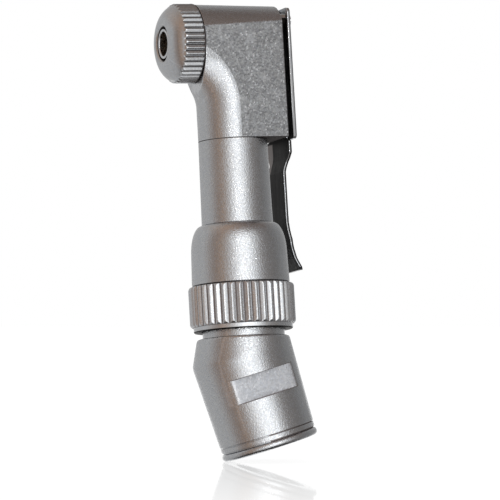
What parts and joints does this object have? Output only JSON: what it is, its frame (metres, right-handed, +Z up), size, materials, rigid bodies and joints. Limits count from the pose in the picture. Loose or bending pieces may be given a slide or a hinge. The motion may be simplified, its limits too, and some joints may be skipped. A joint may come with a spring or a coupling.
{
  "type": "latch-type contra-angle handpiece head",
  "caption": "Silver contra-angle head for a slow handpiece: flat-sided latch head with a bur chuck, swivelling neck, knurled lock ring and a bent rear body that takes the handpiece's nose.",
  "frame": {"origin": "centre of the handpiece socket's mouth, at the bottom", "axes": "+Z up along the neck, -X the way the bur leaves the head, the flat side panels face -Y and +Y"},
  "size_m": [0.0136, 0.0104, 0.045],
  "materials": {
    "satin_metal": "satin, fine-blasted plating",
    "bright_metal": "polished",
    "spring_steel": "polished sheet",
    "bearing_bronze": "turned bearing bronze",
    "hardened_steel": "ground and hardened"
  },
  "bodies": {
    "rear": {"rear_body": "satin_metal", "rear_bushing": "bearing_bronze", "rear_thrust_washer": "bearing_bronze", "collar": "satin_metal", "clamp_collet": "bright_metal", "ring_wire": "bright_metal"},
    "head": {"head_housing": "satin_metal", "head_cap": "bright_metal", "front_bushing": "bearing_bronze", "back_bushing": "bearing_bronze", "back_cover": "spring_steel", "cover_screws": "bright_metal", "latch_pivot": "bright_metal", "neck_sleeve": "satin_metal", "sleeve_clip": "bright_metal", "lower_neck_bushing": "bearing_bronze", "upper_neck_bushing": "bearing_bronze", "lower_thrust_washer": "bearing_bronze", "upper_thrust_washer": "bearing_bronze"},
    "rotor": {"bur_tube": "hardened_steel", "drive_socket": "bright_metal", "rotor_gear": "hardened_steel", "rotor_thrust_washer": "bearing_bronze"},
    "neck_drive": {"neck_shaft": "hardened_steel", "upper_neck_gear": "hardened_steel", "lower_neck_gear": "hardened_steel"},
    "rear_drive": {"rear_shaft": "hardened_steel", "rear_gear": "hardened_steel", "drive_dog": "hardened_steel", "dog_pin": "bright_metal"},
    "latch": {"latch_lever": "spring_steel"},
    "ring": {"lock_ring": "bright_metal"}
  },
  "joints": [
    {"name": "head_swivel", "type": "hinge", "parent": "rear", "child": "head", "pos_m": [-0.00216, 0, 0.02801], "axis": [0, 0, 1], "continuous": true},
    {"name": "drive_spin", "type": "hinge", "parent": "rear", "child": "rear_drive", "pos_m": [-0.0013, 0, 0.00483], "axis": [-0.2605, 0, 0.9655], "continuous": true},
    {"name": "neck_spin", "type": "hinge", "parent": "head", "child": "neck_drive", "pos_m": [-0.00216, 0, 0.02801], "axis": [0, 0, 1], "continuous": true},
    {"name": "bur_spin", "type": "hinge", "parent": "head", "child": "rotor", "pos_m": [-0.00216, 0, 0.03991], "axis": [-1, 0, 0], "continuous": true},
    {"name": "latch_swing", "type": "hinge", "parent": "head", "child": "latch", "pos_m": [0.00273, 0, 0.03651], "axis": [-1, 0, 0], "range_deg": [0, 32]},
    {"name": "lock_ring_turn", "type": "hinge", "parent": "rear", "child": "ring", "pos_m": [-0.00216, 0, 0.01376], "axis": [0, 0, 1], "range_deg": [0, 60]}
  ],
  "couplings": [
    {"joint": "neck_spin", "follows": "drive_spin", "ratio": 1},
    {"joint": "bur_spin", "follows": "drive_spin", "ratio": 1}
  ]
}
